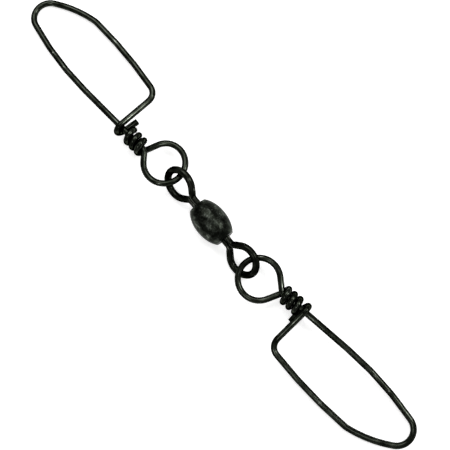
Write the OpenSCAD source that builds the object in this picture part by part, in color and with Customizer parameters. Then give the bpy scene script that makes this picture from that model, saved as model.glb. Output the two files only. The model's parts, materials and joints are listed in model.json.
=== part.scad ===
// Double-ended fishing snap swivel: a rolling swivel with a spring-wire snap linked to each eye.
// It lies as it comes to rest on a table. +X runs along the barrel towards the lower snap,
// +Z is up, and the origin is on the table, under the middle of the whole length and width.
// All sizes are in millimetres. Wire sizes are given to the middle of the wire where they say so.

/* [Barrel] */
// Length of the barrel over its end faces
barrel_len = 7.4; // [6.5:0.1:9]
// Greatest diameter of the barrel
barrel_d = 5.75; // [5:0.05:7]
// Diameter of each swaged end face
barrel_end_d = 3.4; // [3:0.1:3.8]
// Wall of the drawn shell
shell_wall = 0.42; // [0.3:0.02:0.5]
// Thickness of each swaged end wall, in which an eye turns
end_wall = 0.55; // [0.4:0.05:0.8]
// Rounding of the outer edge of each end face
end_round = 0.14; // [0.08:0.02:0.2]

/* [Eyes] */
// Diameter of the eye wire
eye_wire_d = 1.28; // [1:0.02:1.34]
// Width of an eye loop, wire centre to wire centre
eye_w = 5.26; // [4.6:0.02:5.6]
// Radius of the flanks of the loop, at the wire centre
eye_flank_r = 2.75; // [2.7:0.05:3.4]
// Radius of the tip of the loop, at the wire centre
eye_tip_r = 1.7; // [1.4:0.1:2.2]
// Angle at which each leg leaves the neck
eye_spread = 47.5; // [42:0.5:52]
// Radius of the bend where a leg leaves the neck
eye_bend_r = 0.9; // [0.8:0.05:1.2]
// Length of the neck outside the barrel
neck_len = 1.24; // [0.8:0.02:1.6]
// Width of one pressed leg in the neck, across the pair
neck_leg_w = 0.86; // [0.7:0.02:0.88]
// Height of a pressed leg in the neck
neck_leg_h = 1.24; // [1:0.01:1.28]
// Gap between the two pressed legs
neck_seam = 0.04; // [0.02:0.01:0.06]
// Diameter of the round journal that turns in the end wall
journal_d = 1.82; // [1.8:0.01:1.9]
// Diameter of the formed head that holds the eye in the barrel
head_d = 2.8; // [2.6:0.05:2.9]
// Length of the formed head
head_len = 1.3; // [1:0.1:1.8]
// Turn of the upper eye about the barrel, its far side raised
upper_eye_roll = 48; // [42:1:60]
// Turn of the lower eye about the barrel, its far side raised
lower_eye_roll = 43; // [42:1:60]

/* [Snap wire] */
// Diameter of the snap wire
wire_d = 1.12; // [1:0.02:1.16]
// Diameter of the ring, wire centre to wire centre
ring_d = 7.24; // [6.8:0.02:8]
// Distance from the first coil strand back to the ring centre, upper snap
upper_ring_back = 4.96; // [4.9:0.02:6]
// Distance from the first coil strand back to the ring centre, lower snap
lower_ring_back = 5.24; // [4.9:0.02:6]
// Distance of the ring centre from the standing leg, to the loop's side
ring_side = 0.92; // [0.7:0.02:1.2]
// Radius of the bend from the ring into the standing leg, at the wire centre
ring_bend_r = 1; // [0.9:0.1:1.2]
// Advance of the upper snap's coil in one turn
upper_pitch = 1.3; // [1.2:0.02:1.5]
// Advance of the lower snap's coil in one turn
lower_pitch = 1.26; // [1.2:0.02:1.5]
// Whole turns between the first and the last strand across the front of a coil
coil_turns = 2; // [1:1:4]
// Angle past the front at which a coil is cut off
coil_cut = 94; // [60:2:100]

/* [Snap loop] */
// Length of the loop, from the cross piece at the standing leg to the tip, wire centres
loop_len = 27; // [24:0.2:34]
// Length of the bowed stretch of the long leg before the tip
leg_bow_len = 15.6; // [12:0.1:18]
// Angle by which the long leg turns in before the tip
leg_bow = 15; // [12:0.5:20]
// Radius of the tip, at the wire centre
tip_r = 2.8; // [2:0.1:3]
// Angle between the nose, where it leaves the tip, and the standing leg
nose_steep = 32; // [30:1:38]
// Length of the nose, from the tip to the far bend
nose_len = 8.3; // [8:0.1:11]
// Angle between the nose, where it meets the far bend, and the standing leg
nose_flat = 9.5; // [8:0.5:14]
// Radius of the far bend, at the wire centre
far_bend_r = 3; // [2:0.5:6]
// Angle between the short side before the corner and the standing leg
side_end = 10.5; // [8:0.5:13]
// Radius of the corner, at the wire centre
corner_r = 2; // [0.9:0.1:2.4]
// Angle between the cross piece and the standing leg, upper snap
upper_cross_angle = 91; // [84:1:94]
// Angle between the cross piece and the standing leg, lower snap
lower_cross_angle = 86; // [84:1:94]
// Distance from the last coil strand to the cross piece, upper snap
upper_catch = 2.34; // [1.9:0.02:3]
// Distance from the last coil strand to the cross piece, lower snap
lower_catch = 1.58; // [1.5:0.02:3]
// Angle by which the hook goes round the standing leg, from its front
hook_wrap = 178; // [170:2:190]
// Distance by which the upper hook comes back to the coil on its way round
upper_sweep = 0.45; // [0.3:0.05:1]
// Distance by which the lower hook comes back to the coil on its way round
lower_sweep = 0.65; // [0.3:0.05:0.8]
// Length of the upper hook's free end past the side of the coil
upper_hook_end = 0.65; // [0.2:0.05:1.4]
// Length of the lower hook's free end past the side of the coil
lower_hook_end = 0.75; // [0.2:0.05:1.4]

/* [Chain at rest] */
// Play of the upper ring in its eye, along the barrel
upper_play = 0.55; // [0.3:0.05:0.8]
// Play of the lower ring in its eye, along the barrel
lower_play = 1; // [0.3:0.05:1.1]
// Sideways place of the upper ring in its eye
upper_shift = 0.3; // [0:0.02:0.4]
// Sideways place of the lower ring in its eye
lower_shift = 0.06; // [0:0.02:0.4]
// Turn of the upper snap on the table, away from the barrel's line
upper_yaw = 5; // [0:0.1:10]
// Turn of the lower snap on the table, away from the barrel's line
lower_yaw = 9.4; // [0:0.1:12]

/* [Clearances] */
// Radial clearance of a journal in its bore
bore_gap = 0.06; // [0.04:0.01:0.1]
// Clearance of a head behind its end wall
head_gap = 0.08; // [0.05:0.01:0.12]
// Clearance of a wrapped wire over the standing leg
wrap_gap = 0.06; // [0.04:0.01:0.1]

/* [Hidden] */

shell_black = [0.17, 0.18, 0.16];
wire_black = [0.12, 0.13, 0.11];

// Lean of each hook's free end, towards the coil
upper_end_lean = 7;
lower_end_lean = 2;
// Share of the ring's length over which each of its ends climbs
climb_share = 0.22;
// Distance from the back of the first coil strand to the end of the ring's bend
leg_set_back = 0.14;

// Length past the neck's bend over which the pressed legs grow round
press_fade = 0.3;
// Distance from the end face of the barrel back to the end of the journal
journal_recess = 0.1;
// Share of the head's length that the legs reach into it
leg_share = 0.6;
// Head profile: its flat and its rims as shares of its diameter, its corners as shares of its length
head_flat_share = 0.6;
head_rim_share = 0.9;
head_rim_at = 0.2;
head_belly_from = 0.5;
head_belly_to = 0.85;

// Sides and steps of the swept wires
wire_sides = 12;
coil_turn_steps = 16;
ring_steps = 28;
ring_bend_steps = 4;
bow_steps = 4;
tip_steps = 11;
nose_steps = 4;
far_bend_steps = 2;
side_steps = 3;
corner_steps = 8;
hook_step = 15;
eye_bend_steps = 4;
eye_flank_steps = 10;
eye_tip_steps = 3;
profile_steps = 24;

// Barrel: the outline is an ellipse cut off at the end faces
half_len = barrel_len / 2;
bore_r = journal_d / 2 + bore_gap;
ellipse_half = half_len / sqrt(1 - pow(barrel_end_d / barrel_d, 2));
cavity_half = half_len - end_wall;

function shell_r(x) = barrel_d / 2 * sqrt(1 - pow(x / ellipse_half, 2));

// Walking along a plan: where a straight or an arc leads from point p with heading h
function ahead(p, h, s) = p + s * [cos(h), sin(h)];
function along_arc(p, h, r, turn) =
    let (side = turn < 0 ? -90 : 90, middle = ahead(p, h + side, r))
    ahead(middle, h + side + turn, -r);
function arc_points(p, h, r, turn, steps) =
    [for (i = [1:steps]) along_arc(p, h, r, turn * i / steps)];

// Length along a list of points, up to each of them
function run_lengths(path) =
    [for (i = 0, s = 0; i < len(path);
          i = i + 1, s = s + (i < len(path) ? norm(path[i] - path[i - 1]) : 0)) s];
function raised(path, z) = [for (p = path) [p.x, p.y, z]];

// Directions of a path at its points, and the side vectors carried along it without twist
function unit(v) = v / norm(v);
function leaving(path, i) = unit(path[min(i, len(path) - 2) + 1] - path[min(i, len(path) - 2)]);
function arriving(path, i) = leaving(path, max(i - 1, 0));
function heading_at(path, i) = unit(leaving(path, i) + arriving(path, i));
function square_to(v, t) = unit(v - (v * t) * t);
function side_vectors(path, first) =
    [for (i = 0, v = square_to(first, heading_at(path, 0)); i < len(path);
          i = i + 1, v = square_to(v, heading_at(path, min(i, len(path) - 1)))) v];

// A wire along a path; sizes holds the half width and half height of its section at each point
module swept_wire(path, sizes, first_side) {
    sides = side_vectors(path, first_side);
    points = [for (i = [0:len(path) - 1], k = [0:wire_sides - 1])
        let (a = 360 * k / wire_sides, up = cross(heading_at(path, i), sides[i]))
        path[i] + sizes[i][0] * cos(a) * sides[i] + sizes[i][1] * sin(a) * up];
    start = [[for (k = [0:wire_sides - 1]) k]];
    end = [[for (k = [wire_sides - 1:-1:0]) (len(path) - 1) * wire_sides + k]];
    skin = [for (i = [0:len(path) - 2], k = [0:wire_sides - 1])
        let (n = (k + 1) % wire_sides, row = i * wire_sides)
        [row + k, row + wire_sides + k, row + wire_sides + n, row + n]];
    polyhedron(points = points, faces = concat(start, skin, end), convexity = 10);
}

// Eye: half of its outline, in the plane of the eye, from inside the head out to the tip
neck_x = half_len + neck_len;
leg_y = (neck_leg_w + neck_seam) / 2;
head_top = cavity_half - head_gap;
leg_start_x = head_top - head_len * leg_share;
eye_half_w = eye_w / 2;
flank_fall = acos((eye_half_w - eye_flank_r) / (eye_tip_r - eye_flank_r));
bend_end = along_arc([neck_x, leg_y], 0, eye_bend_r, eye_spread);
shoulder_len = (eye_half_w - bend_end.y - eye_flank_r * (1 - cos(eye_spread))) / sin(eye_spread);
shoulder_end = ahead(bend_end, eye_spread, shoulder_len);
flank_end = along_arc(shoulder_end, eye_spread, eye_flank_r, -eye_spread - flank_fall);
eye_tip_x = flank_end.x + eye_tip_r * (1 - sin(flank_fall));

function half_eye() = concat(
    [[leg_start_x, leg_y], [neck_x - neck_len / 2, leg_y], [neck_x, leg_y]],
    arc_points([neck_x, leg_y], 0, eye_bend_r, eye_spread, eye_bend_steps),
    arc_points(shoulder_end, eye_spread, eye_flank_r, -eye_spread - flank_fall, eye_flank_steps),
    arc_points(flank_end, -flank_fall, eye_tip_r, flank_fall - 90, eye_tip_steps));

// The pressed section runs to the neck's end and grows round over the bend
press_end_x = bend_end.x + press_fade;
function press_left(x) = max(0, min(1, (press_end_x - x) / (press_end_x - neck_x)));
function eye_section(x) =
    let (f = press_left(x))
    [f * neck_leg_w + (1 - f) * eye_wire_d, f * neck_leg_h + (1 - f) * eye_wire_d] / 2;

// What differs between the two snaps, and the way each lies from the barrel
upper = [upper_pitch, upper_ring_back, upper_catch, upper_cross_angle, upper_sweep, upper_hook_end,
         upper_end_lean, upper_play, upper_shift, upper_yaw, 180];
lower = [lower_pitch, lower_ring_back, lower_catch, lower_cross_angle, lower_sweep, lower_hook_end,
         lower_end_lean, lower_play, lower_shift, lower_yaw, 0];
function coil_pitch(snap) = snap[0];
function ring_back(snap) = snap[1];
function catch(snap) = snap[2];
function cross_angle(snap) = snap[3];
function sweep(snap) = snap[4];
function hook_end(snap) = snap[5];
function end_lean(snap) = snap[6];
function ring_play(snap) = snap[7];
function ring_shift(snap) = snap[8];
function snap_yaw(snap) = snap[9];
function snap_way(snap) = snap[10];

// Snap wire in its own frame: x along the standing leg to the tip, z up, first strand at x = 0
wire_r = wire_d / 2;
wrap_r = wire_d + wrap_gap;
ring_r = ring_d / 2;

function coil_point(snap, a) = [coil_pitch(snap) * (a - 90) / 360, wrap_r * cos(a), wrap_r * sin(a)];

// The ring's two tangents: to the start of the coil, and into the bend of the standing leg
function ring_mid(snap) = [-ring_back(snap), -ring_side];
function coil_start(snap) = [coil_point(snap, -90).x, 0];
function ring_in(snap) =
    let (to_ring = ring_mid(snap) - coil_start(snap))
    atan2(to_ring.y, to_ring.x) + asin(ring_r / norm(to_ring)) + 360;
function ring_entry(snap) = ahead(ring_mid(snap), ring_in(snap) + 90, ring_r);
function leg_x(snap) = coil_start(snap).x + leg_set_back;
function ring_out(snap) =
    let (to_bend = [leg_x(snap), ring_bend_r] - ring_mid(snap))
    atan2(to_bend.y, to_bend.x) - asin((ring_r + ring_bend_r) / norm(to_bend));
function bend_entry(snap) = along_arc([leg_x(snap), 0], 180, ring_bend_r, ring_out(snap));

// The ring starts behind the standing leg and ends at its height. It lies level in the middle,
// half way up, and climbs at its two ends
function eased(f) = f * f * (3 - 2 * f);
function climb(f) = (eased(min(1, f / climb_share)) + eased(max(0, 1 - (1 - f) / climb_share))) / 2;
function ring_plan(snap) = concat(
    [coil_start(snap), (coil_start(snap) + ring_entry(snap)) / 2, ring_entry(snap)],
    arc_points(ring_entry(snap), ring_in(snap), ring_r, ring_out(snap) - ring_in(snap), ring_steps),
    [bend_entry(snap)],
    arc_points(bend_entry(snap), ring_out(snap), ring_bend_r, -ring_out(snap), ring_bend_steps));
function ring_path(snap) =
    let (plan = ring_plan(snap), runs = run_lengths(plan), whole = runs[len(runs) - 1])
    [for (i = [1:len(plan) - 1]) [plan[i].x, plan[i].y, wrap_r * (climb(runs[i] / whole) - 1)]];

// Loop: the headings at the ends of its stretches, and the points where they join
tip_out = nose_steep - 180;
bow_r = leg_bow_len / (leg_bow * PI / 180);
nose_r = nose_len / ((nose_steep - nose_flat) * PI / 180);
bow_reach = bow_r * sin(leg_bow);
tip_reach = tip_r * (1 - sin(leg_bow));

function cross_x(snap) = coil_turns * coil_pitch(snap) + catch(snap);
function bow_start(snap) = [cross_x(snap) + loop_len - tip_reach - bow_reach, 0];
function tip_start(snap) = along_arc(bow_start(snap), 0, bow_r, -leg_bow);
function nose_start(snap) = along_arc(tip_start(snap), -leg_bow, tip_r, tip_out + leg_bow);
function nose_end(snap) = along_arc(nose_start(snap), tip_out, nose_r, nose_flat - nose_steep);
function side_start(snap) = along_arc(nose_end(snap), nose_flat - 180, far_bend_r, -nose_flat);

// The short side is as long as brings the cross piece to its place over the standing leg
side_heading = 180 - side_end / 2;
function corner_turn(snap) = -(180 - side_end - cross_angle(snap));
function corner_jump(snap) = along_arc([0, 0], 180 - side_end, corner_r, corner_turn(snap));
function side_chord(snap) =
    let (p = side_start(snap) + corner_jump(snap), slant = 1 / tan(cross_angle(snap)))
    (cross_x(snap) - p.x + p.y * slant) / (cos(side_heading) - sin(side_heading) * slant);
function corner_start(snap) = ahead(side_start(snap), side_heading, side_chord(snap));

function loop_plan(snap) =
    let (side_r = side_chord(snap) / (2 * sin(side_end / 2)))
    concat(
        [[leg_x(snap), 0], bow_start(snap)],
        arc_points(bow_start(snap), 0, bow_r, -leg_bow, bow_steps),
        arc_points(tip_start(snap), -leg_bow, tip_r, tip_out + leg_bow, tip_steps),
        arc_points(nose_start(snap), tip_out, nose_r, nose_flat - nose_steep, nose_steps),
        arc_points(nose_end(snap), nose_flat - 180, far_bend_r, -nose_flat, far_bend_steps),
        arc_points(side_start(snap), 180, side_r, -side_end, side_steps),
        arc_points(corner_start(snap), 180 - side_end, corner_r, corner_turn(snap), corner_steps));

// The cross piece climbs over the standing leg, and the hook goes round it. Its free end comes
// out under the leg, on the loop's side
function hook_path(snap) =
    let (corner = corner_start(snap) + corner_jump(snap),
         slant = 1 / tan(cross_angle(snap)),
         lift = asin(wrap_r / -corner.y),
         steps = ceil(hook_wrap / hook_step),
         cross_end_x = cross_x(snap) - wrap_r * sin(lift) * slant,
         round_leg = [for (i = [0:steps])
            let (f = i / steps, a = 90 + lift - f * (hook_wrap + lift), out = a > 0 ? cos(a) : 1)
            [cross_end_x + wrap_r * (out + sin(lift)) * slant - sweep(snap) * f * f,
             wrap_r * cos(a), wrap_r * sin(a)]],
         last = round_leg[steps],
         way = [-sin(end_lean(snap)), -cos(end_lean(snap)) * cos(hook_wrap - 180),
                cos(end_lean(snap)) * sin(hook_wrap - 180)],
         run = (last.y + wrap_r + wire_r + hook_end(snap)) / -way.y)
    concat(round_leg, [last + run * way]);

function snap_path(snap) =
    let (coil_end = 90 + coil_cut + 360 * coil_turns,
         steps = round((coil_end + 90) * coil_turn_steps / 360))
    concat(
        [for (i = [0:steps]) coil_point(snap, coil_end - (coil_end + 90) * i / steps)],
        ring_path(snap),
        [for (p = raised(loop_plan(snap), 0)) if (p.x > leg_x(snap) || p.y < 0) p],
        hook_path(snap));

// Rest: the ring's wire lies in its eye, and the nose of the loop lies on the table.
// A snap turns about that point of its ring: yaw on the table, then the lean of its loop.
function ring_low(snap) = ring_mid(snap) + ring_r * [-cos(snap_yaw(snap)), sin(snap_yaw(snap))];
function ring_low_z(snap) =
    let (path = ring_path(snap), gaps = [for (p = path) norm([p.x, p.y] - ring_low(snap))])
    [for (i = [0:len(path) - 1]) if (gaps[i] == min(gaps)) path[i].z][0];
function snap_anchor(snap) = [ring_low(snap).x, ring_low(snap).y, ring_low_z(snap)];
nose_normal = tip_out + 90;
function snap_slope(snap) =
    let (reach = nose_start(snap) - ring_low(snap),
         drop = barrel_d / 2 - ring_low_z(snap) - wire_r)
    drop / (reach * [cos(nose_normal), sin(nose_normal)]);
function snap_pitch(snap) = asin(snap_slope(snap) * cos(nose_normal));
function snap_roll(snap) = asin(-snap_slope(snap) * sin(nose_normal) / cos(snap_pitch(snap)));

function turned(p, roll, pitch, yaw) =
    let (a = [p.x, p.y * cos(roll) - p.z * sin(roll), p.y * sin(roll) + p.z * cos(roll)],
         b = [a.x * cos(pitch) + a.z * sin(pitch), a.y, a.z * cos(pitch) - a.x * sin(pitch)])
    [b.x * cos(yaw) - b.y * sin(yaw), b.x * sin(yaw) + b.y * cos(yaw), b.z];
function link_x(snap) = eye_tip_x - (eye_wire_d + wire_d) / 2 - ring_play(snap);
function placed_snap(snap) =
    let (roll = snap_roll(snap), pitch = snap_pitch(snap), anchor = snap_anchor(snap))
    [for (p = snap_path(snap))
        turned(p - anchor, roll, pitch, snap_yaw(snap) + snap_way(snap))
            + [link_x(snap) * cos(snap_way(snap)), ring_shift(snap), barrel_d / 2]];

upper_snap_path = placed_snap(upper);
lower_snap_path = placed_snap(lower);

// The origin goes under the middle of the whole length and width
both_snaps = concat(upper_snap_path, lower_snap_path);
xs = [for (p = both_snaps) p.x];
ys = [for (p = both_snaps) p.y];
middle = [(min(xs) + max(xs)) / 2, (min(ys) + max(ys)) / 2, 0];

module on_barrel_axis() translate([0, 0, barrel_d / 2] - middle) children();

module barrel() {
    outer = [for (i = [0:profile_steps])
        let (x = (half_len - end_round) * (2 * i / profile_steps - 1)) [shell_r(x), x]];
    rim_r = shell_r(half_len - end_round) - end_round;
    inner = [for (i = [0:profile_steps])
        let (x = cavity_half * (1 - 2 * i / profile_steps)) [shell_r(x) - shell_wall, x]];
    color(shell_black)
    on_barrel_axis() rotate([0, 90, 0]) rotate_extrude($fn = 96)
        polygon(concat(
            [[bore_r, -half_len], [rim_r, -half_len]], outer,
            [[rim_r, half_len], [bore_r, half_len], [bore_r, cavity_half]], inner,
            [[bore_r, -cavity_half]]));
}

// One eye along +x, flat in the xy plane: the wire, its round journal and the formed head
module eye() {
    half = half_eye();
    outline = concat(half, [for (i = [len(half) - 2:-1:0]) [half[i].x, -half[i].y]]);
    head_bottom = head_top - head_len;
    head_r = head_d / 2;
    journal_end = half_len - journal_recess;
    swept_wire(raised(outline, 0), [for (p = outline) eye_section(p.x)], [0, 1, 0]);
    rotate([0, 90, 0]) rotate_extrude($fn = 64)
        polygon([
            [0, head_bottom], [head_r * head_flat_share, head_bottom],
            [head_r * head_rim_share, head_bottom + head_len * head_rim_at],
            [head_r, head_bottom + head_len * head_belly_from],
            [head_r, head_bottom + head_len * head_belly_to],
            [head_r * head_rim_share, head_top], [journal_d / 2, head_top],
            [journal_d / 2, journal_end], [0, journal_end]]);
}

module upper_eye() color(wire_black) on_barrel_axis() rotate([-upper_eye_roll, 0, 180]) eye();
module lower_eye() color(wire_black) on_barrel_axis() rotate([lower_eye_roll, 0, 0]) eye();

module snap(path) {
    color(wire_black) translate(-middle)
        swept_wire(path, [for (p = path) [wire_r, wire_r]], [0, 0, 1]);
}

module upper_snap() snap(upper_snap_path);
module lower_snap() snap(lower_snap_path);

barrel();
upper_eye();
lower_eye();
upper_snap();
lower_snap();
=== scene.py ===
# Looks of a double-ended fishing snap swivel: a black rolling swivel with a spring-wire snap linked to each eye.
# All sizes are in metres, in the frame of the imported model: +X along the barrel to the lower snap, +Z up.
import json
import math

import bpy
from mathutils import Matrix, Vector


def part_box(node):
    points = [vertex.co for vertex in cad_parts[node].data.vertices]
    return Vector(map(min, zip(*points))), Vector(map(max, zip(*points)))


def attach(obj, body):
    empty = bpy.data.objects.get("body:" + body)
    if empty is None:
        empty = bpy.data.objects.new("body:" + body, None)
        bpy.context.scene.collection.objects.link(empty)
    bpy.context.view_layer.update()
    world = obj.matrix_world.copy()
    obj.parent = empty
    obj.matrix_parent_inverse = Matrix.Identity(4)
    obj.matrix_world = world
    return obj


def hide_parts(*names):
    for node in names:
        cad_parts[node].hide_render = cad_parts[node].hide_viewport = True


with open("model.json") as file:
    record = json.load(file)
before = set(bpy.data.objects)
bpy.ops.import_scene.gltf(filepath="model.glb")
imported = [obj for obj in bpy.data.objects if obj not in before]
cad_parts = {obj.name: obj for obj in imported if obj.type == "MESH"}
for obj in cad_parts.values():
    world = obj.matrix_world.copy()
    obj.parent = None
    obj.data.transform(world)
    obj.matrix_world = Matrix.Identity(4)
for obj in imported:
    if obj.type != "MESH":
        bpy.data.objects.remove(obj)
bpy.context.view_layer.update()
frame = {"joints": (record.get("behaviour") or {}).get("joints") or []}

MM = 0.001
ALONG = Vector((1, 0, 0))
SIDEWAYS = Vector((0, 1, 0))
UP = Vector((0, 0, 1))

# Barrel and joints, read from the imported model
barrel_low, barrel_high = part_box("barrel")
barrel_middle = (barrel_low + barrel_high) / 2
barrel_half = (barrel_high.x - barrel_low.x) / 2
barrel_r = (barrel_high.z - barrel_low.z) / 2
joint_at = {joint["name"]: Vector(joint["pos_m"]) for joint in frame["joints"]}
joint_axis = {joint["name"]: Vector(joint["axis"]) for joint in frame["joints"]}

# Barrel shell
END_FACE_R = 1.7 * MM
SHELL_WALL = 0.42 * MM
END_WALL = 0.55 * MM
END_ROUND = 0.14 * MM
BORE_R = 0.97 * MM
BORE_ROUND = 0.06 * MM

# Eyes. Both wires are drawn 0.02 mm thinner than they are packed: at the end of the upper snap's swing
# flat-sided wires pass where full round ones would touch
EYE_WIRE_R = 0.63 * MM
EYE_HALF_W = 2.63 * MM
EYE_FLANK_R = 2.75 * MM
EYE_TIP_R = 1.7 * MM
EYE_SPREAD = math.radians(47.5)
EYE_BEND_R = 0.9 * MM
NECK_LEN = 1.24 * MM
NECK_LEG_HALF_W = 0.43 * MM
NECK_LEG_HALF_H = 0.62 * MM
NECK_LEG_Y = 0.45 * MM
PRESS_FADE = 0.3 * MM
JOURNAL_R = 0.91 * MM
JOURNAL_RECESS = 0.1 * MM
HEAD_R = 1.4 * MM
HEAD_LEN = 1.3 * MM
HEAD_GAP = 0.08 * MM
HEAD_ROUND = 0.22 * MM

# Snap wire, with lengths and radii to its centre
WIRE_R = 0.55 * MM
WRAP_R = 1.18 * MM
RING_R = 3.62 * MM
RING_SIDE = 0.92 * MM
RING_BEND_R = 1 * MM
RING_BEND_SET_BACK = 0.14 * MM
CLIMB_SHARE = 0.22
COIL_TURNS = 2
COIL_CUT = math.radians(94)
HOOK_WRAP = math.radians(178)

# Snap loop
LOOP_LEN = 27 * MM
LEG_BOW_LEN = 15.6 * MM
LEG_BOW = math.radians(15)
TIP_R = 2.8 * MM
NOSE_STEEP = math.radians(32)
NOSE_LEN = 8.3 * MM
NOSE_FLAT = math.radians(9.5)
FAR_BEND_R = 3 * MM
SIDE_END = math.radians(10.5)
CORNER_R = 2 * MM

# Fineness and finish of the meshes
BEND_STEP = math.radians(5)
PATH_STEP = 0.16 * MM
BEND_EASE = 0.24 * MM
EYE_EASE = 0.16 * MM
WIRE_SIDES = 24
SNAP_RIM = 0.04 * MM
EYE_RIM = 0.05 * MM
MERGE = 0.0005 * MM
BARREL_SIDES = 96
BARREL_RINGS = 64
CAVITY_CUTS = 24
HEAD_SIDES = 64
JOURNAL_ROUND = 0.05 * MM
LEG_SHARE_OF_HEAD = 0.6

# Camera, as the photograph was taken: almost from above, leaning towards the lower snap
SENSOR_MM = 36
LENS_MM = 87.3
VIEW_DISTANCE = 185.79 * MM
VIEW_POINT = barrel_middle + Vector((1.891, 1.496, -0.075)) * MM
VIEW_TURN = math.radians(50.27)
VIEW_LEAN = math.radians(8.378)
VIEW_LEAN_WAY = math.radians(-6.948)

# Studio: each soft box has its name, its direction from the barrel, its length and width and its watts
FLOOR_SIZE = 20
BOX_DISTANCE = 0.5
FLOOR_GLOW = 0.6
SKY_STRENGTH = 0.25
SOFT_BOXES = [
    ("overhead_box", Vector((-0.52, 0.4, 1)), 0.42, 0.26, 1.05),
    ("right_box", Vector((0.45, 0.8, 1)), 0.15, 0.1, 0.8),
    ("left_box", Vector((0.13, -0.52, 1)), 0.14, 0.08, 0.25),
    ("strip_box", Vector((0.14, 0.16, 1)), 0.3, 0.04, 0.14),
]


# Paths

def toward(heading):
    return Vector((math.cos(heading), math.sin(heading)))


class Walk:
    """A path in a plane, walked from a start with a heading. A bend with a turn above 0 goes left."""

    def __init__(self, start, heading=0.0):
        self.points = [Vector(start)]
        self.heading = heading

    def straight(self, length):
        self.points.append(self.points[-1] + length * toward(self.heading))

    def bend(self, radius, turn):
        steps = max(2, math.ceil(abs(turn) / BEND_STEP))
        side = self.heading + math.copysign(math.pi / 2, turn)
        middle = self.points[-1] + radius * toward(side)
        self.points += [middle - radius * toward(side + turn * i / steps) for i in range(1, steps + 1)]
        self.heading += turn


def run_lengths(path):
    runs = [0.0]
    for a, b in zip(path, path[1:]):
        runs.append(runs[-1] + (b - a).length)
    return runs


def evenly_spaced(path, step):
    """The same path with its points a step apart."""
    runs = run_lengths(path)
    count = round(runs[-1] / step)
    spaced, i = [], 0
    for k in range(count + 1):
        s = runs[-1] * k / count
        while i < len(path) - 2 and runs[i + 1] < s:
            i += 1
        share = (s - runs[i]) / (runs[i + 1] - runs[i])
        spaced.append(path[i].lerp(path[i + 1], share))
    return spaced


def eased(path, ease):
    """Wire springs back over a bend, so each bend starts and ends softly, over about the ease's length."""
    path = evenly_spaced(path, PATH_STEP)
    reach = math.ceil(2 * ease / PATH_STEP)
    weights = [math.exp(-((k * PATH_STEP / ease) ** 2) / 2) for k in range(-reach, reach + 1)]
    whole = sum(weights)
    last = len(path) - 1
    soft = []
    for i in range(len(path)):
        room = min(i, last - i)
        if room < reach:
            soft.append(path[i])
            continue
        near = path[i - reach:i + reach + 1]
        soft.append(sum((w * p for w, p in zip(weights, near)), Vector((0, 0, 0))) / whole)
    return soft


def smooth_step(f):
    f = min(1.0, max(0.0, f))
    return f * f * (3 - 2 * f)


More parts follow.
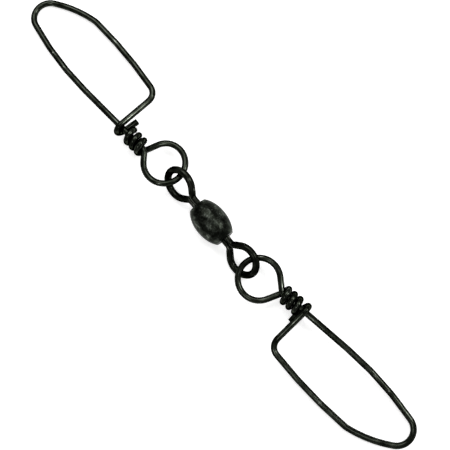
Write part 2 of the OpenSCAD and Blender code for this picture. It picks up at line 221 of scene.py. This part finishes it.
class SnapShape:
    """The wire of one snap in its own frame: x along the standing leg to the tip, z up, first strand at x = 0."""

    def __init__(self, pitch, ring_back, catch, cross_angle, sweep, hook_end, end_lean, yaw, way):
        self.pitch = pitch
        self.slant = 1 / math.tan(cross_angle)
        self.cross_angle = cross_angle
        self.sweep = sweep
        self.hook_end = hook_end
        self.end_lean = end_lean
        self.yaw = yaw
        self.way = way
        self.ring_middle = Vector((-ring_back, -RING_SIDE))
        self.coil_start = self.coil_point(-math.pi / 2)
        self.leg_x = self.coil_start.x + RING_BEND_SET_BACK
        self.cross_x = COIL_TURNS * pitch + catch

    def coil_point(self, angle):
        along = self.pitch * (angle - math.pi / 2) / (2 * math.pi)
        return Vector((along, WRAP_R * math.cos(angle), WRAP_R * math.sin(angle)))

    def coil_path(self):
        """From the cut end of the wire round the standing leg, towards the ring."""
        coil_end = math.pi / 2 + COIL_CUT + 2 * math.pi * COIL_TURNS
        steps = round((coil_end + math.pi / 2) / BEND_STEP)
        return [self.coil_point(coil_end - (coil_end + math.pi / 2) * i / steps) for i in range(steps)]

    def ring_walk(self):
        """Once round the ring: from under the standing leg, round the eye, into the bend of the leg."""
        start = self.coil_start.to_2d()
        to_ring = self.ring_middle - start
        way_in = math.atan2(to_ring.y, to_ring.x) + math.asin(RING_R / to_ring.length) + 2 * math.pi
        to_bend = Vector((self.leg_x, RING_BEND_R)) - self.ring_middle
        way_out = math.atan2(to_bend.y, to_bend.x) - math.asin((RING_R + RING_BEND_R) / to_bend.length)
        walk = Walk(start, way_in)
        walk.straight(math.sqrt(to_ring.length_squared - RING_R ** 2))
        walk.bend(RING_R, way_out - way_in)
        walk.straight(math.sqrt(to_bend.length_squared - (RING_R + RING_BEND_R) ** 2))
        walk.bend(RING_BEND_R, -way_out)
        return walk.points

    def ring_path(self):
        """The ring lies level in its middle, half way up, and climbs at its two ends."""
        plan = evenly_spaced(self.ring_walk(), PATH_STEP)
        last = len(plan) - 1
        path = []
        for i, point in enumerate(plan):
            climbed = smooth_step(i / last / CLIMB_SHARE) + smooth_step(1 - (1 - i / last) / CLIMB_SHARE)
            path.append(Vector((point.x, point.y, WRAP_R * (climbed / 2 - 1))))
        return path

    def loop_walk(self):
        """The long leg, the tip, the nose, the far bend, the short side and the corner."""
        bow_r = LEG_BOW_LEN / LEG_BOW
        bow_x = self.cross_x + LOOP_LEN - TIP_R * (1 - math.sin(LEG_BOW)) - bow_r * math.sin(LEG_BOW)
        walk = Walk((self.leg_x, 0))
        walk.straight(bow_x - self.leg_x)
        walk.bend(bow_r, -LEG_BOW)
        walk.bend(TIP_R, NOSE_STEEP - math.pi + LEG_BOW)
        nose_start = walk.points[-1]
        walk.bend(NOSE_LEN / (NOSE_STEEP - NOSE_FLAT), NOSE_FLAT - NOSE_STEEP)
        walk.bend(FAR_BEND_R, -NOSE_FLAT)
        # The short side is as long as brings the cross piece to its place over the standing leg
        corner_turn = -(math.pi - SIDE_END - self.cross_angle)
        corner = Walk((0, 0), math.pi - SIDE_END)
        corner.bend(CORNER_R, corner_turn)
        chord_way = math.pi - SIDE_END / 2
        after = walk.points[-1] + corner.points[-1]
        chord = (self.cross_x - after.x + after.y * self.slant) / (
            math.cos(chord_way) - math.sin(chord_way) * self.slant)
        walk.bend(chord / (2 * math.sin(SIDE_END / 2)), -SIDE_END)
        walk.bend(CORNER_R, corner_turn)
        return walk.points, nose_start

    def hook_path(self, corner_y):
        """The cross piece climbs over the standing leg, and the hook goes round it and ends under it."""
        lift = math.asin(WRAP_R / -corner_y)
        foot_x = self.cross_x - WRAP_R * math.sin(lift) * self.slant
        steps = math.ceil(HOOK_WRAP / BEND_STEP)
        path = []
        for i in range(steps + 1):
            f = i / steps
            angle = math.pi / 2 + lift - f * (HOOK_WRAP + lift)
            out = math.cos(angle) if angle > 0 else 1
            along = foot_x + WRAP_R * (out + math.sin(lift)) * self.slant - self.sweep * f * f
            path.append(Vector((along, WRAP_R * math.cos(angle), WRAP_R * math.sin(angle))))
        end_way = Vector((
            -math.sin(self.end_lean),
            math.cos(self.end_lean) * math.cos(HOOK_WRAP),
            -math.cos(self.end_lean) * math.sin(HOOK_WRAP)))
        run = (path[-1].y + WRAP_R + WIRE_R + self.hook_end) / -end_way.y
        path.append(path[-1] + run * end_way)
        return path

    def whole_path(self):
        """The whole wire, from the cut end of its coil to the end of its hook, and where its nose starts."""
        loop, nose_start = self.loop_walk()
        flat_loop = [point.to_3d() for point in loop[1:]]
        path = self.coil_path() + self.ring_path() + flat_loop + self.hook_path(loop[-1].y)
        return eased(path, BEND_EASE), nose_start

    def lay_down(self, hinge, nose_start):
        """Its place at rest: the ring's wire is in its eye, and the nose of the loop is on the floor."""
        low = self.ring_middle + RING_R * Vector((-math.cos(self.yaw), math.sin(self.yaw)))
        anchor = Vector((low.x, low.y, min(self.ring_path(), key=lambda p: (p.to_2d() - low).length).z))
        nose_way = toward(NOSE_STEEP - math.pi / 2)
        slope = (barrel_r - anchor.z - WIRE_R) / (nose_start - low).dot(nose_way)
        pitch = math.asin(slope * nose_way.x)
        roll = math.asin(-slope * nose_way.y / math.cos(pitch))
        place = Matrix.Translation(hinge)
        for angle, axis in ((self.yaw + self.way, "Z"), (pitch, "Y"), (roll, "X")):
            place = place @ Matrix.Rotation(angle, 4, axis)
        return place @ Matrix.Translation(-anchor)


SNAPS = {
    "upper": SnapShape(
        pitch=1.3 * MM, ring_back=4.96 * MM, catch=2.34 * MM, cross_angle=math.radians(91), sweep=0.45 * MM,
        hook_end=1.1 * MM, end_lean=math.radians(7), yaw=math.radians(5), way=math.pi),
    "lower": SnapShape(
        pitch=1.26 * MM, ring_back=5.24 * MM, catch=1.58 * MM, cross_angle=math.radians(86), sweep=0.65 * MM,
        hook_end=1.2 * MM, end_lean=math.radians(2), yaw=math.radians(9.4), way=0.0),
}


# Modelling

def deselect():
    if bpy.context.object and bpy.context.object.mode != "OBJECT":
        bpy.ops.object.mode_set(mode="OBJECT")
    bpy.ops.object.select_all(action="DESELECT")


def drawn_wire(name, path, radius):
    """A round wire as it is drawn: a curve along the path with a round bevel, made a mesh."""
    deselect()
    bpy.ops.curve.primitive_nurbs_path_add()
    wire = bpy.context.object
    wire.name = name
    curve = wire.data
    curve.splines.clear()
    spline = curve.splines.new("POLY")
    spline.points.add(len(path) - 1)
    for point, place in zip(spline.points, path):
        point.co = (*place, 1)
    curve.dimensions = "3D"
    curve.twist_mode = "MINIMUM"
    curve.bevel_depth = radius
    curve.bevel_resolution = WIRE_SIDES // 2 - 2
    curve.use_fill_caps = False
    bpy.ops.object.convert(target="MESH")
    return bpy.context.object


def squashed_rings(wire, path, squash):
    """Presses a wire out of round. squash gives each place on the path its press directions and shares."""
    vertices = wire.data.vertices
    for i, middle in enumerate(path):
        for way, share in squash(i, middle):
            for vertex in vertices[i * WIRE_SIDES:(i + 1) * WIRE_SIDES]:
                off = (vertex.co - middle).dot(way)
                vertex.co -= way * off * (1 - share)


def mark_drawn(wire, path, radius):
    """Keeps each vertex's place on the wire as it was drawn, straight, so that its finish follows the wire."""
    drawn = wire.data.attributes.new("drawn", "FLOAT_VECTOR", "POINT")
    for i, run in enumerate(run_lengths(path)):
        for k in range(WIRE_SIDES):
            angle = 2 * math.pi * k / WIRE_SIDES
            place = (radius * math.cos(angle), radius * math.sin(angle), run)
            drawn.data[i * WIRE_SIDES + k].vector = place


def cut_ends(wire, rim):
    """Closes both ends of a wire with the flat of a cut, its rim broken by a small round."""
    last = len(wire.data.vertices) - WIRE_SIDES
    bpy.ops.object.mode_set(mode="EDIT")
    for first in (0, last):
        bpy.ops.mesh.select_mode(type="VERT")
        bpy.ops.mesh.select_all(action="DESELECT")
        bpy.ops.object.mode_set(mode="OBJECT")
        for vertex in wire.data.vertices[first:first + WIRE_SIDES]:
            vertex.select = True
        bpy.ops.object.mode_set(mode="EDIT")
        bpy.ops.mesh.edge_face_add()
    select_faces(wire, lambda face: len(face.vertices) == WIRE_SIDES)
    bpy.ops.mesh.bevel(offset=rim, segments=2, affect="EDGES")
    tidy_faces()
    bpy.ops.object.mode_set(mode="OBJECT")


def tidy_faces():
    """Merges doubles and turns all faces outwards, in edit mode."""
    bpy.ops.mesh.select_all(action="SELECT")
    bpy.ops.mesh.remove_doubles(threshold=MERGE)
    bpy.ops.mesh.normals_make_consistent(inside=False)
    bpy.ops.mesh.select_all(action="DESELECT")


def select_faces(piece, chosen):
    """In edit mode, selects the faces for which chosen(face) is true."""
    bpy.ops.mesh.select_mode(type="FACE")
    bpy.ops.object.mode_set(mode="OBJECT")
    for face in piece.data.polygons:
        face.select = chosen(face)
    bpy.ops.object.mode_set(mode="EDIT")


def barrel_shell():
    """A drawn shell, swaged down at both ends to a flat face with a bore for an eye."""
    stretch = barrel_half / math.sqrt(1 - (END_FACE_R / barrel_r) ** 2)
    deselect()
    bpy.ops.mesh.primitive_uv_sphere_add(
        segments=BARREL_SIDES, ring_count=BARREL_RINGS, radius=barrel_r,
        rotation=(0, math.pi / 2, 0), scale=(1, 1, stretch / barrel_r))
    shell = bpy.context.object
    shell.name = "swaged_barrel"
    bpy.ops.object.transform_apply()
    bpy.ops.object.mode_set(mode="EDIT")
    for way in (ALONG, -ALONG):
        bpy.ops.mesh.select_all(action="SELECT")
        bpy.ops.mesh.bisect(
            plane_co=way * barrel_half, plane_no=way, clear_outer=True, use_fill=True, threshold=MERGE)

    # The bores, left open, and the wall between them inside the shell
    for way in (ALONG, -ALONG):
        select_faces(shell, lambda face: face.normal.dot(way) > 0.999)
        bpy.ops.mesh.bevel(offset=END_ROUND, segments=4, affect="EDGES")
        select_faces(shell, lambda face: face.normal.dot(way) > 0.9999)
        face_r = max(v.co.yz.length for v in shell.data.vertices if v.co.dot(way) > barrel_half - MERGE)
        bpy.ops.mesh.inset(thickness=face_r - BORE_R - BORE_ROUND)
        bpy.ops.mesh.inset(thickness=BORE_ROUND, depth=-BORE_ROUND)
        bpy.ops.mesh.extrude_region_move(
            TRANSFORM_OT_translate={"value": -way * (END_WALL - BORE_ROUND)})
        bpy.ops.mesh.delete(type="FACE")
    bpy.ops.mesh.select_mode(type="EDGE")
    bpy.ops.mesh.select_all(action="DESELECT")
    bpy.ops.mesh.select_non_manifold()
    bpy.ops.mesh.bridge_edge_loops(number_cuts=CAVITY_CUTS)
    bpy.ops.object.mode_set(mode="OBJECT")
    cavity_half = barrel_half - END_WALL
    for vertex in shell.data.vertices:
        across = vertex.co.yz.length
        if abs(vertex.co.x) < cavity_half - MERGE and across < BORE_R + MERGE:
            hollow_r = barrel_r * math.sqrt(1 - (vertex.co.x / stretch) ** 2) - SHELL_WALL
            vertex.co.yz *= hollow_r / across
    bpy.ops.object.mode_set(mode="EDIT")
    tidy_faces()
    bpy.ops.object.mode_set(mode="OBJECT")
    shell.location = barrel_middle
    return shell


def eye_path():
    """One leg from inside the head out along the neck, round the loop and back along the other leg."""
    leg_start_x = barrel_half - END_WALL - HEAD_GAP - HEAD_LEN * LEG_SHARE_OF_HEAD
    flank_fall = math.acos((EYE_HALF_W - EYE_FLANK_R) / (EYE_TIP_R - EYE_FLANK_R))
    walk = Walk((leg_start_x, NECK_LEG_Y))
    walk.straight(barrel_half + NECK_LEN - leg_start_x)
    walk.bend(EYE_BEND_R, EYE_SPREAD)
    bend_end_x = walk.points[-1].x
    rise = EYE_HALF_W - walk.points[-1].y - EYE_FLANK_R * (1 - math.cos(EYE_SPREAD))
    walk.straight(rise / math.sin(EYE_SPREAD))
    walk.bend(EYE_FLANK_R, -EYE_SPREAD - flank_fall)
    walk.bend(EYE_TIP_R, flank_fall - math.pi / 2)
    half = [point.to_3d() for point in walk.points]
    other = [Vector((point.x, -point.y, 0)) for point in reversed(half[:-1])]
    return eased(half + other, EYE_EASE), bend_end_x


def eye(side):
    """An eye with its legs pressed together in the neck, and the formed head that holds it in the barrel."""
    path, bend_end_x = eye_path()
    wire = drawn_wire(side + "_eye_wire", path, EYE_WIRE_R)
    mark_drawn(wire, path, EYE_WIRE_R)
    neck_x = barrel_half + NECK_LEN
    press_end_x = bend_end_x + PRESS_FADE

    def neck_press(i, middle):
        pressed = smooth_step((press_end_x - middle.x) / (press_end_x - neck_x))
        before, after = path[max(0, i - 1)], path[min(len(path) - 1, i + 1)]
        across = UP.cross(after - before).normalized()
        across_share = 1 + pressed * (NECK_LEG_HALF_W / EYE_WIRE_R - 1)
        height_share = 1 + pressed * (NECK_LEG_HALF_H / EYE_WIRE_R - 1)
        return [(across, across_share), (UP, height_share)]

    squashed_rings(wire, path, neck_press)
    # Painted highlight: a mask over the pressed neck that fades out past the bend. The wire's finish uses it to
    # lighten streak lines in place of the legs' highlights.
    neck_highlight = wire.data.attributes.new("neck_highlight", "FLOAT", "POINT")
    for i, middle in enumerate(path):
        for k in range(WIRE_SIDES):
            neck_highlight.data[i * WIRE_SIDES + k].value = smooth_step((press_end_x - middle.x) / (press_end_x - neck_x))
    cut_ends(wire, EYE_RIM)

    head_top = barrel_half - END_WALL - HEAD_GAP
    parts = [
        (HEAD_R, head_top - HEAD_LEN, head_top, HEAD_ROUND),
        (JOURNAL_R, head_top - HEAD_ROUND, barrel_half - JOURNAL_RECESS, JOURNAL_ROUND),
    ]
    turned = []
    for radius, start, end, rounding in parts:
        deselect()
        bpy.ops.mesh.primitive_cylinder_add(
            vertices=HEAD_SIDES, radius=radius, depth=end - start, end_fill_type="NGON",
            location=((start + end) / 2, 0, 0), rotation=(0, math.pi / 2, 0))
        bpy.ops.object.transform_apply()
        bpy.ops.object.mode_set(mode="EDIT")
        select_faces(bpy.context.object, lambda face: len(face.vertices) > 4)
        bpy.ops.mesh.bevel(offset=rounding, segments=4, affect="EDGES")
        bpy.ops.object.mode_set(mode="OBJECT")
        turned.append(bpy.context.object)
    deselect()
    for part in turned + [wire]:
        part.select_set(True)
    bpy.context.view_layer.objects.active = wire
    bpy.ops.object.join()

    out = ALONG if side == "lower" else -ALONG
    normal = joint_axis[side + "_snap_swing"]
    place = Matrix((out, normal.cross(out), normal)).transposed().to_4x4()
    wire.matrix_world = Matrix.Translation(barrel_middle) @ place
    return wire


def snap(side):
    """One bent wire: coil, ring through the eye, long leg, loop, cross piece and hook."""
    path, nose_start = SNAPS[side].whole_path()
    wire = drawn_wire(side + "_snap_wire", path, WIRE_R)
    mark_drawn(wire, path, WIRE_R)
    cut_ends(wire, SNAP_RIM)
    wire.matrix_world = SNAPS[side].lay_down(joint_at[side + "_snap_swing"], nose_start)
    return wire


# Materials

def linear(hex_colour):
    """An sRGB hex colour as linear values with full alpha."""
    values = [int(hex_colour[i:i + 2], 16) / 255 for i in (1, 3, 5)]
    return tuple(v / 12.92 if v <= 0.04045 else ((v + 0.055) / 1.055) ** 2.4 for v in values) + (1.0,)


def add_node(tree, kind, inputs=None, **settings):
    """Adds a node. settings are its properties, and inputs its values or the sockets that feed them."""
    added = tree.nodes.new(kind)
    for name, value in settings.items():
        setattr(added, name, value)
    for name, value in (inputs or {}).items():
        socket = added.inputs[name]
        if isinstance(value, bpy.types.NodeSocket):
            tree.links.new(value, socket)
        else:
            socket.default_value = value
    return added


def new_material(name):
    """An empty node material, and the tree that it grows in."""
    material = bpy.data.materials.new(name)
    material.use_nodes = True
    material.node_tree.nodes.clear()
    return material, material.node_tree


def shades(tree, amount, stops):
    """Turns an amount from 0 to 1 into colours: stops are places with hex colours."""
    ramp = add_node(tree, "ShaderNodeValToRGB", {"Fac": amount})
    while len(ramp.color_ramp.elements) < len(stops):
        ramp.color_ramp.elements.new(0.5)
    for element, (place, colour) in zip(ramp.color_ramp.elements, stops):
        element.position = place
        element.color = linear(colour)
    return ramp.outputs["Color"]


def blackened_brass_barrel():
    """Tumbled brass under black nickel: matt, cloudy and faintly green, with paler worn patches and pits."""
    material, tree = new_material("black_nickel_on_tumbled_brass")
    place = add_node(tree, "ShaderNodeTexCoord").outputs["Object"]
    clouds = add_node(tree, "ShaderNodeTexNoise", {
        "Vector": place, "Scale": 1 / (1.1 * MM), "Detail": 5.0, "Roughness": 0.62})
    grain = add_node(tree, "ShaderNodeTexNoise", {
        "Vector": place, "Scale": 1 / (0.28 * MM), "Detail": 3.0, "Roughness": 0.55})
    mixed = add_node(tree, "ShaderNodeMix", {
        0: 0.3, 2: clouds.outputs["Fac"], 3: grain.outputs["Fac"]}, data_type="FLOAT")
    colour = shades(tree, mixed.outputs[0], [
        (0.34, "#070806"), (0.47, "#1e211c"), (0.57, "#363a34"), (0.7, "#6a6f68")])
    rough = add_node(tree, "ShaderNodeMapRange", {
        "Value": mixed.outputs[0], "From Min": 0.35, "From Max": 0.65, "To Min": 0.38, "To Max": 0.28})
    dents = add_node(tree, "ShaderNodeBump", {
        "Height": clouds.outputs["Fac"], "Strength": 0.5, "Distance": 0.025 * MM})
    pits = add_node(tree, "ShaderNodeBump", {
        "Height": grain.outputs["Fac"], "Strength": 0.5, "Distance": 0.015 * MM,
        "Normal": dents.outputs["Normal"]})
    shader = add_node(tree, "ShaderNodeBsdfPrincipled", {
        "Base Color": colour, "Roughness": rough.outputs["Result"], "Metallic": 1.0,
        "Specular Tint": linear("#cbcbcb"), "Normal": pits.outputs["Normal"]})
    add_node(tree, "ShaderNodeOutputMaterial", {"Surface": shader.outputs["BSDF"]})
    return material


def blackened_wire(name, streak_colours, bare_and_highlight_colour, roughness):
    """Drawn wire under black nickel: a soft sheen that is near black at the rims, with streaks along it."""
    material, tree = new_material(name)
    drawn = add_node(tree, "ShaderNodeAttribute", attribute_name="drawn").outputs["Vector"]
    streak_place = add_node(tree, "ShaderNodeMapping", {"Vector": drawn, "Scale": (1.0, 1.0, 0.08)})
    streaks = add_node(tree, "ShaderNodeTexNoise", {
        "Vector": streak_place.outputs["Vector"], "Scale": 1 / (0.22 * MM), "Detail": 3.0, "Roughness": 0.6})
    blotches = add_node(tree, "ShaderNodeTexNoise", {
        "Vector": drawn, "Scale": 1 / (1.6 * MM), "Detail": 3.0, "Roughness": 0.55})
    mixed = add_node(tree, "ShaderNodeMix", {
        0: 0.45, 2: streaks.outputs["Fac"], 3: blotches.outputs["Fac"]}, data_type="FLOAT")
    colour = shades(tree, mixed.outputs[0], streak_colours)
    nick_place = add_node(tree, "ShaderNodeMapping", {"Vector": drawn, "Scale": (1.0, 1.0, 0.35)})
    nick_noise = add_node(tree, "ShaderNodeTexNoise", {
        "Vector": nick_place.outputs["Vector"], "Scale": 1 / (0.5 * MM), "Detail": 1.0, "Roughness": 0.5})
    nicks = add_node(tree, "ShaderNodeMapRange", {
        "Value": nick_noise.outputs["Fac"], "From Min": 0.74, "From Max": 0.84, "To Min": 0.0, "To Max": 1.0})
    # Painted highlight: on the neck, the brighter streaks are lightened towards the bare colour in place of the
    # legs' highlight lines. The nicks are specks of bare metal.
    neck_highlight = add_node(tree, "ShaderNodeAttribute", attribute_name="neck_highlight").outputs["Fac"]
    highlight_lines = add_node(tree, "ShaderNodeMapRange", {
        "Value": streaks.outputs["Fac"], "From Min": 0.52, "From Max": 0.62, "To Min": 0.0, "To Max": 0.5})
    painted_neck_lines = add_node(tree, "ShaderNodeMath", {0: neck_highlight, 1: highlight_lines.outputs["Result"]}, operation="MULTIPLY")
    bare_and_highlight = add_node(tree, "ShaderNodeMath", {0: nicks.outputs["Result"], 1: painted_neck_lines.outputs[0]}, operation="MAXIMUM")
    colour = add_node(tree, "ShaderNodeMix", {
        0: bare_and_highlight.outputs[0], 6: colour, 7: linear(bare_and_highlight_colour)}, data_type="RGBA").outputs[2]
    rough = add_node(tree, "ShaderNodeMapRange", {
        "Value": mixed.outputs[0], "From Min": 0.35, "From Max": 0.65,
        "To Min": roughness + 0.07, "To Max": roughness - 0.07})
    lines = add_node(tree, "ShaderNodeBump", {
        "Height": streaks.outputs["Fac"], "Strength": 0.5, "Distance": 0.012 * MM})
    shader = add_node(tree, "ShaderNodeBsdfPrincipled", {
        "Base Color": colour, "Roughness": rough.outputs["Result"], "Metallic": 1.0,
        "Specular Tint": linear("#1c1c1c"), "Normal": lines.outputs["Normal"]})
    add_node(tree, "ShaderNodeOutputMaterial", {"Surface": shader.outputs["BSDF"]})
    return material


# Studio

def studio():
    """A plain white floor that keeps a faint shadow, a dim even sky and soft boxes overhead."""
    deselect()
    bpy.ops.mesh.primitive_plane_add(size=FLOOR_SIZE)
    floor = bpy.context.object
    floor.name = "floor"
    material, tree = new_material("white_floor")
    paper = add_node(tree, "ShaderNodeBsdfPrincipled", {
        "Base Color": linear("#fafaf9"), "Roughness": 0.9, "Specular IOR Level": 0.1})
    glow = add_node(tree, "ShaderNodeEmission", {"Color": linear("#ffffff"), "Strength": FLOOR_GLOW})
    rays = add_node(tree, "ShaderNodeLightPath")
    seen = add_node(tree, "ShaderNodeMath", {
        0: rays.outputs["Is Camera Ray"], 1: rays.outputs["Is Glossy Ray"]}, operation="MAXIMUM")
    seen = add_node(tree, "ShaderNodeMath", {
        0: seen.outputs[0], 1: rays.outputs["Is Transmission Ray"]}, operation="MAXIMUM")
    shown = add_node(tree, "ShaderNodeMixShader", {0: seen.outputs[0]})
    both = add_node(tree, "ShaderNodeAddShader", {0: paper.outputs["BSDF"], 1: glow.outputs["Emission"]})
    tree.links.new(paper.outputs["BSDF"], shown.inputs[1])
    tree.links.new(both.outputs["Shader"], shown.inputs[2])
    add_node(tree, "ShaderNodeOutputMaterial", {"Surface": shown.outputs["Shader"]})
    floor.data.materials.append(material)

    world = bpy.data.worlds.new("even_sky")
    world.use_nodes = True
    sky = world.node_tree.nodes["Background"]
    sky.inputs["Color"].default_value = linear("#ffffff")
    sky.inputs["Strength"].default_value = SKY_STRENGTH
    bpy.context.scene.world = world

    for name, way, length, width, power in SOFT_BOXES:
        deselect()
        bpy.ops.object.light_add(type="AREA", location=barrel_middle + BOX_DISTANCE * way.normalized())
        box = bpy.context.object
        box.name = name
        box.data.shape = "RECTANGLE"
        box.data.size = length
        box.data.size_y = width
        box.data.energy = power
        box.rotation_euler = way.to_track_quat("Z", "Y").to_euler()


def photo_camera():
    """The camera at the photograph's viewing angle, with its perspective."""
    camera = bpy.data.objects.new("camera", bpy.data.cameras.new("camera"))
    bpy.context.scene.collection.objects.link(camera)
    camera.data.sensor_width = SENSOR_MM
    camera.data.lens = LENS_MM
    camera.data.clip_start = 10 * MM
    lean_axis = Matrix.Rotation(VIEW_LEAN_WAY, 3, "Z") @ SIDEWAYS
    lean = Matrix.Rotation(VIEW_LEAN, 4, lean_axis)
    back = lean @ UP
    camera.matrix_world = (
        Matrix.Translation(VIEW_POINT + back * VIEW_DISTANCE) @ lean @ Matrix.Rotation(VIEW_TURN, 4, "Z"))
    bpy.context.scene.camera = camera


def dress(piece, body, material):
    """Puts a finished piece at the origin with its place in its mesh, and hands it to its body.

    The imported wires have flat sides, so the round ones are trimmed by some hundredths of a millimetre to
    stay inside their boxes."""
    deselect()
    piece.select_set(True)
    bpy.context.view_layer.objects.active = piece
    bpy.ops.object.transform_apply()
    low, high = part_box(body)
    for vertex in piece.data.vertices:
        vertex.co = [min(max(at, start), end) for at, start, end in zip(vertex.co, low, high)]
    bpy.ops.object.shade_smooth_by_angle(angle=math.radians(35))
    piece.data.materials.clear()
    piece.data.materials.append(material)
    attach(piece, body)
    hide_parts(body)


photo_camera()
studio()
barrel_finish = blackened_brass_barrel()
# The last colour of each finish is bare metal for the nicks, and on the eyes it is also the painted neck
# highlight.
eye_finish = blackened_wire("black_nickel_on_brass_wire", [
    (0.36, "#0a0b09"), (0.5, "#1e201b"), (0.62, "#383b34"), (0.72, "#6e726a")], "#9a9d93", 0.22)
snap_finish = blackened_wire("black_nickel_on_spring_steel", [
    (0.34, "#0c0e0b"), (0.46, "#21241e"), (0.6, "#3d413a"), (0.72, "#7a7f76")], "#a5a89f", 0.16)

dress(barrel_shell(), "barrel", barrel_finish)
for side in SNAPS:
    dress(eye(side), side + "_eye", eye_finish)
    dress(snap(side), side + "_snap", snap_finish)

bpy.context.scene.view_settings.view_transform = "Standard"
